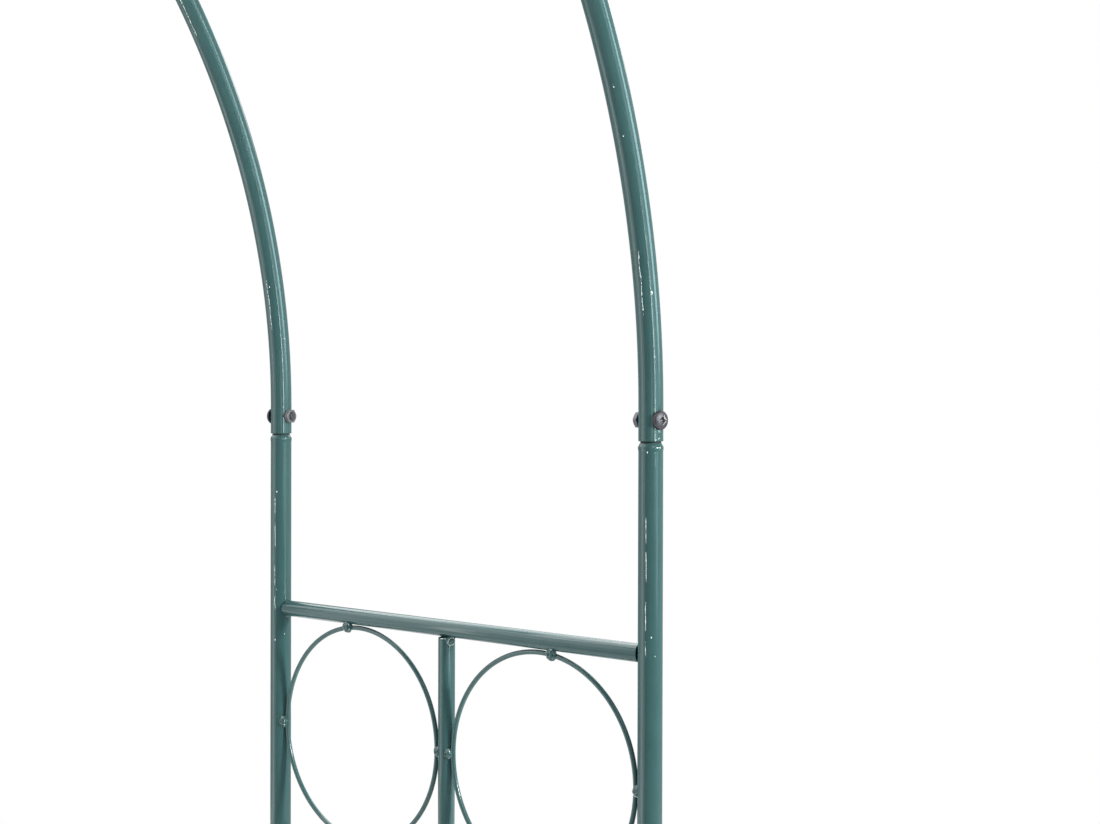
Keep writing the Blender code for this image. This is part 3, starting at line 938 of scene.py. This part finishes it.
# Screws
# Ten M6 pan-head machine screws with a cross recess, black zinc plated, one through each joint.
# They are threaded along their whole length and stop nearly flush with the nut.
SCREW_RADIUS = 0.003
THREAD_PITCH = 0.001
THREAD_DEPTH = 0.0006
THREAD_SIDES = 32
STEPS_PER_PITCH = 8
POINT_LENGTH = 0.0012
SCREW_LENGTH = 0.020
HEAD_RADIUS = 0.0062
HEAD_HEIGHT = 0.0034
HEAD_EDGE = 0.0009
DOME_STEPS = 14
RECESS_REACH = 0.0033
RECESS_WIDTH = 0.0009
RECESS_CORNER = 0.0016
RECESS_BEVEL = 0.0006
RECESS_DEPTH = 0.0022
RECESS_CORNERS = 12
SCREW_CHANCE = 117


def plated_finish(name, colour, roughness, mottle, bump, metallic=1.0):
    made, tree, shader = surface_finish(name, Metallic=metallic)
    spot = on_object(tree)
    stain = grain(tree, 700.0, 4.0, spot)
    dark, light = [(*(channel * share for channel in colour), 1.0) for share in (1 - mottle, 1 + mottle)]
    rough = spread(tree, stain, roughness * 0.7, roughness * 1.3)
    pits = times(tree, grain(tree, 2600.0, 2.0, spot), bump)
    dress(tree, shader, blend(tree, stain, dark, light), rough, pits)
    return made


black_zinc = plated_finish("black_zinc_screw", (0.110, 0.104, 0.120), 0.56, 0.25, 0.00001)
bare_steel = plated_finish("bare_steel_at_recess", (0.80, 0.80, 0.84), 0.35, 0.1, 0.00001)


def threaded_shank():
    """A helical thread: the radius at each point follows its height within the pitch."""
    bm = bmesh.new()
    rings = []
    for z in evenly(-SCREW_LENGTH, 0.0, THREAD_PITCH / STEPS_PER_PITCH):
        lead = min(1.0, (z + SCREW_LENGTH) / POINT_LENGTH)
        ring = []
        for k in range(THREAD_SIDES):
            crest = abs(2 * ((z / THREAD_PITCH - k / THREAD_SIDES) % 1.0) - 1)
            radius = (SCREW_RADIUS - THREAD_DEPTH * (1 - crest)) * (0.86 + 0.14 * lead)
            angle = tau * k / THREAD_SIDES
            ring.append(bm.verts.new((radius * cos(angle), radius * sin(angle), z)))
        rings.append(ring)
    skin(bm, rings, False)
    bm.faces.new(reversed(rings[0]))
    bm.faces.new(rings[-1])
    return bm


def pan_head():
    """The head's profile: domed over a short straight edge."""
    profile = [(0.0, 0.0), (SCREW_RADIUS, 0.0), (HEAD_RADIUS - 0.0003, 0.0), (HEAD_RADIUS, 0.0003),
               (HEAD_RADIUS, HEAD_EDGE)]
    for k in range(1, DOME_STEPS):
        turn = pi / 2 * k / DOME_STEPS
        profile.append((HEAD_RADIUS * cos(turn) ** 0.92,
                        HEAD_EDGE + (HEAD_HEIGHT - HEAD_EDGE) * sin(turn) ** 0.95))
    return turned(profile + [(0.0, HEAD_HEIGHT)], 64)


def cross_recess():
    """The driver recess: four tapering wings round a core whose corners slope between them."""
    bm = bmesh.new()
    outlines = []
    for z, size in ((HEAD_HEIGHT + 0.0004, 1.35), (HEAD_HEIGHT - RECESS_BEVEL, 0.80),
                    (HEAD_HEIGHT - RECESS_DEPTH, 0.45)):
        wing = ((RECESS_REACH, -RECESS_WIDTH / 2), (RECESS_REACH, RECESS_WIDTH / 2),
                (RECESS_CORNER, RECESS_CORNER))
        outline = []
        for quarter in range(4):
            turn = Matrix.Rotation(pi / 2 * quarter, 2)
            outline += [bm.verts.new((*(turn @ Vector(corner) * size), z)) for corner in wing]
        outlines.append(outline)
    skin(bm, outlines, False)
    floor = outlines[-1]
    point = bm.verts.new((0, 0, HEAD_HEIGHT - RECESS_DEPTH - 0.0005))
    for k in range(RECESS_CORNERS):
        bm.faces.new((floor[k], floor[(k + 1) % RECESS_CORNERS], point))
    bm.faces.new(outlines[0])
    return bm


def screw_pattern():
    steps = [("recess", cross_recess(), 'DIFFERENCE'), ("shank", threaded_shank(), 'UNION')]
    result = cut_and_join(plain_mesh(pan_head(), "screw_head"), steps, 32)
    worn = [float(face.center.z > HEAD_HEIGHT - RECESS_BEVEL - 0.0001 and face.normal.z < 0.8
                  and face.center.xy.length < RECESS_REACH * 1.1) for face in result.polygons]
    result.attributes.new("worn", 'FLOAT', 'FACE').data.foreach_set("value", worn)
    return result


def seating_group():
    tree, given, result = shape_group("seat_fasteners", {
        "Pattern": 'Object', "Finish": 'Material', "Worn Finish": 'Material'})
    rotation = field(tree, 'FunctionNodeEulerToRotation', {"Euler": noted(tree, "turns", 'FLOAT_VECTOR')})
    placed = field(tree, 'GeometryNodeInstanceOnPoints', {
        "Points": given["Geometry"], "Rotation": rotation,
        "Instance": field(tree, 'GeometryNodeObjectInfo', {"Object": given["Pattern"]}, "Geometry")})
    plated = finished(tree, real(tree, placed), given["Finish"])
    worn = reckon(tree, 'GREATER_THAN', noted(tree, "worn"), 0.5)
    return give(tree, result, finished(tree, plated, given["Worn Finish"], worn))


def joint_spots():
    """Each joint's name, the point on its tube's axis where the screw crosses, and the screw's axis."""
    spots = []
    for end_name, end in ENDS.items():
        tube = box_of(f"right_{end_name}_upper_upright")[2]
        crown = box_of(f"{end_name}_crown_screw")[2]
        spots.append((f"{end_name}_crown", Vector((crown.x, tube.y, crown.z)), Vector((0, end, 0))))
        for side_name, side in SIDES.items():
            for level in ("lower", "upper"):
                joint = f"{side_name}_{end_name}_{level}"
                height = box_of(joint + "_screw")[2].z
                spots.append((joint, Vector((side * tube.x, tube.y, height)), screw_axis(side, end)))
    return spots


def seat_all(kind, pattern_mesh, facing, seat, most_turn, seed, finish, worn_finish):
    """One fastener at each joint, its foot at a distance from the tube's axis, turned by chance."""
    chance = random.Random(seed)
    places = []
    turns = []
    joints = joint_spots()
    for joint, spot, axis in joints:
        outward = axis * facing
        level = outward.cross(Vector((0, 0, 1)))
        seated = Matrix((level, outward.cross(level), outward)).transposed()
        rolled = seated @ Matrix.Rotation(chance.uniform(-most_turn, most_turn), 3, 'Z')
        places.append(spot + outward * seat)
        turns += rolled.to_euler()
    pattern = show(kind + "_pattern", pattern_mesh)
    mesh = grow(point_mesh(kind + "_seats", places, turns=turns), kind + "s", seat_fasteners, {
        "Pattern": pattern, "Finish": finish, "Worn Finish": worn_finish})
    bpy.data.objects.remove(pattern, do_unlink=True)
    place_piece(f"joint_{kind}s", mesh, *[f"{joint[0]}_{kind}" for joint in joints], slot=kind + "_steel")


seat_fasteners = seating_group()
seat_all("screw", screw_pattern(), 1, TUBE_RADIUS - HEAD_FLAT, pi / 4, SCREW_CHANCE,
         black_zinc, bare_steel)

# Nuts
# Thin zinc-plated hexagon nuts, 10 mm across the flats and chamfered on the outer face, run up
# against the tube on the inside of the arch.
NUT_FLAT = 0.005
NUT_FACE = NUT_FLAT * 0.93
NUT_CORNER = NUT_FLAT * 1.13
NUT_BORE = SCREW_RADIUS + 0.0001
NUT_CHAMFER = 0.0005
NUT_SLOPE = 0.55
NUT_THICKNESS = 0.0032
NUT_STEPS = 72
NUT_TURN = radians(6)
NUT_CHANCE = 5
dull_zinc = plated_finish("dull_zinc_nut", (0.15, 0.153, 0.165), 0.55, 0.45, 0.00004, 0.5)


def hexagon_nut():
    bm = bmesh.new()
    columns = []
    for k in range(NUT_STEPS):
        angle = tau * k / NUT_STEPS
        edge = min(NUT_FLAT / cos(angle % (pi / 3) - pi / 6), NUT_CORNER)
        shoulder = NUT_THICKNESS - (edge - NUT_FACE) * NUT_SLOPE
        profile = ((NUT_BORE, 0.0), (edge, 0.0), (edge, shoulder), (NUT_FACE, NUT_THICKNESS),
                   (NUT_BORE + NUT_CHAMFER, NUT_THICKNESS), (NUT_BORE, NUT_THICKNESS - NUT_CHAMFER))
        columns.append([bm.verts.new((radius * cos(angle), radius * sin(angle), z))
                        for radius, z in profile])
    skin(bm, columns)
    return plain_mesh(bm, "nut", 25)


seat_all("nut", hexagon_nut(), -1, TUBE_RADIUS, NUT_TURN, NUT_CHANCE, dull_zinc, dull_zinc)

# Studio
# A white sweep: the floor runs out into white, the world behind is white, and the side of the room
# where the camera stands is darker. Softboxes stand to the right and the left, behind and overhead.
CAMERA_AT = Vector((-0.24094, -0.74719, 1.85443))
CAMERA_VIEW = Vector((0.77578, 0.63098, -0.00561))
CAMERA_UP = Vector((0.00278, 0.00547, 0.99998))
LENS = 50.45
SENSOR = 36.0
FLOOR_RADIUS = 6.0
WHITE = (1.0, 1.0, 1.0, 1.0)
FLOOR_WHITE = (0.86, 0.86, 0.86, 1.0)
NEAR_JOINT = Vector((0.562, -0.177, 1.83))
ROOM_DARK = 0.08
ROOM_WHITE = 0.45
FLOOR_GLOW = 2.6
LAMP_DISTANCE = 3.0
SOFTBOXES = (("key_softbox", 61, 8, 10, 18, 178.0, (0.95, 1.0, 0.94)),
             ("side_softbox", 82, 22, 2, 12, 8.0, (0.75, 1.0, 1.08)),
             ("strip_lamp", 36.4, 4.5, -3.5, 4, 22.0, (0.85, 1.0, 1.02)),
             ("strip_edge", 47, 8, -4, 16, 2.0, (0.8, 1.0, 1.06)),
             ("low_right_panel", 58, 20, -10, 0, 2.0, (0.8, 1.0, 1.0)),
             ("front_right_panel", 25, 30, 15, 50, 2.0),
             ("front_panel", 8, 14, -2, 12, 1.6),
             ("left_strip", -83, 4.5, -20, 18, 2.6),
             ("left_panel", -80, 50, -20, 18, 1.05),
             ("high_left_panel", -98, 70, 18, 52, 1.8),
             ("back_panel", 180, 70, 22, 60, 3.0),
             ("top_panel", -135, 60, 55, 85, 4.0))

view = CAMERA_VIEW.normalized()
rightward = view.cross(CAMERA_UP).normalized()
upward = rightward.cross(view)
camera = show("camera", bpy.data.cameras.new("camera"))
camera.data.lens = LENS
camera.data.sensor_fit = 'HORIZONTAL'
camera.data.sensor_width = SENSOR
camera.data.clip_start = 0.05
camera.matrix_world = Matrix.Translation(CAMERA_AT) @ Matrix((rightward, upward, -view)).transposed().to_4x4()
bpy.context.scene.camera = camera
bpy.context.scene.view_settings.view_transform = 'Standard'


def rays(tree, kind):
    return field(tree, 'ShaderNodeLightPath', {}, f"Is {kind} Ray")


def room_light(tree, direction):
    """How bright the room is that way: white behind the arch and dark on the camera's side."""
    behind = field(tree, 'ShaderNodeVectorMath', {0: direction, 1: tuple(view)}, "Value",
                   operation='DOT_PRODUCT')
    return spread(tree, behind, ROOM_DARK, ROOM_WHITE, -0.75, 0.15, interpolation_type='SMOOTHSTEP')


def build_floor():
    """Matt white near the arch, and further out a glow that only diffuse rays don't see."""
    bm = bmesh.new()
    bmesh.ops.create_circle(bm, cap_ends=True, segments=96, radius=FLOOR_RADIUS)
    floor = show("floor", plain_mesh(bm, "floor"))
    made = bpy.data.materials.new("white_sweep")
    made.use_nodes = True
    tree = made.node_tree
    tree.nodes.remove(tree.nodes["Principled BSDF"])
    spot = on_object(tree)
    far = field(tree, 'ShaderNodeVectorMath', {0: spot}, "Value", operation='LENGTH')
    run_out = spread(tree, far, 0.0, 1.0, 1.2, 3.6, interpolation_type='SMOOTHSTEP')
    outward = field(tree, 'ShaderNodeVectorMath', {0: spot}, operation='NORMALIZE')
    mirrored = times(tree, room_light(tree, outward), FLOOR_GLOW)
    glow = field(tree, 'ShaderNodeMix', {0: rays(tree, "Glossy"), 2: 1.0, 3: mirrored}, data_type='FLOAT')
    matt = field(tree, 'ShaderNodeBsdfDiffuse', {"Color": FLOOR_WHITE})
    white = field(tree, 'ShaderNodeEmission', {"Color": WHITE, "Strength": glow})
    seen = larger(tree, rays(tree, "Camera"), larger(tree, rays(tree, "Glossy"), rays(tree, "Transmission")))
    mixed = field(tree, 'ShaderNodeMixShader', {0: times(tree, run_out, seen), 1: matt, 2: white})
    tree.links.new(mixed, tree.nodes["Material Output"].inputs["Surface"])
    floor.data.materials.append(made)
    return floor


def light_world():
    world = bpy.data.worlds.new("studio")
    world.use_nodes = True
    tree = world.node_tree
    seen = larger(tree, rays(tree, "Camera"), rays(tree, "Transmission"))
    room = room_light(tree, field(tree, 'ShaderNodeTexCoord', {}, "Generated"))
    strength = field(tree, 'ShaderNodeMix', {0: seen, 2: room, 3: 1.0}, data_type='FLOAT')
    background = tree.nodes["Background"].inputs
    background["Color"].default_value = WHITE
    tree.links.new(strength, background["Strength"])
    bpy.context.scene.world = world


def add_softbox(name, azimuth, width, lowest, highest, radiance, colour=WHITE[:3]):
    """A lamp as the near joint sees it: degrees round from the camera towards the right, degrees wide,
    from the lowest to the highest elevation, and its radiance."""
    turn = radians(azimuth)
    lift = radians((lowest + highest) / 2)
    level = rightward * sin(turn) - view * cos(turn)
    outward = Vector((level.x, level.y, 0)).normalized() * cos(lift) + Vector((0, 0, sin(lift)))
    lamp = bpy.data.lights.new(name, 'AREA')
    lamp.shape = 'RECTANGLE'
    lamp.size = 2 * LAMP_DISTANCE * tan(radians(width) / 2)
    lamp.size_y = 2 * LAMP_DISTANCE * tan(radians(highest - lowest) / 2)
    lamp.energy = radiance * pi * lamp.size * lamp.size_y
    lamp.color = colour
    made = show(name, lamp)
    made.matrix_world = (Matrix.Translation(NEAR_JOINT + outward * LAMP_DISTANCE)
                         @ (-outward).to_track_quat('-Z', 'Y').to_matrix().to_4x4())
    made.visible_camera = False


build_floor()
light_world()
for softbox in SOFTBOXES:
    add_softbox(*softbox)
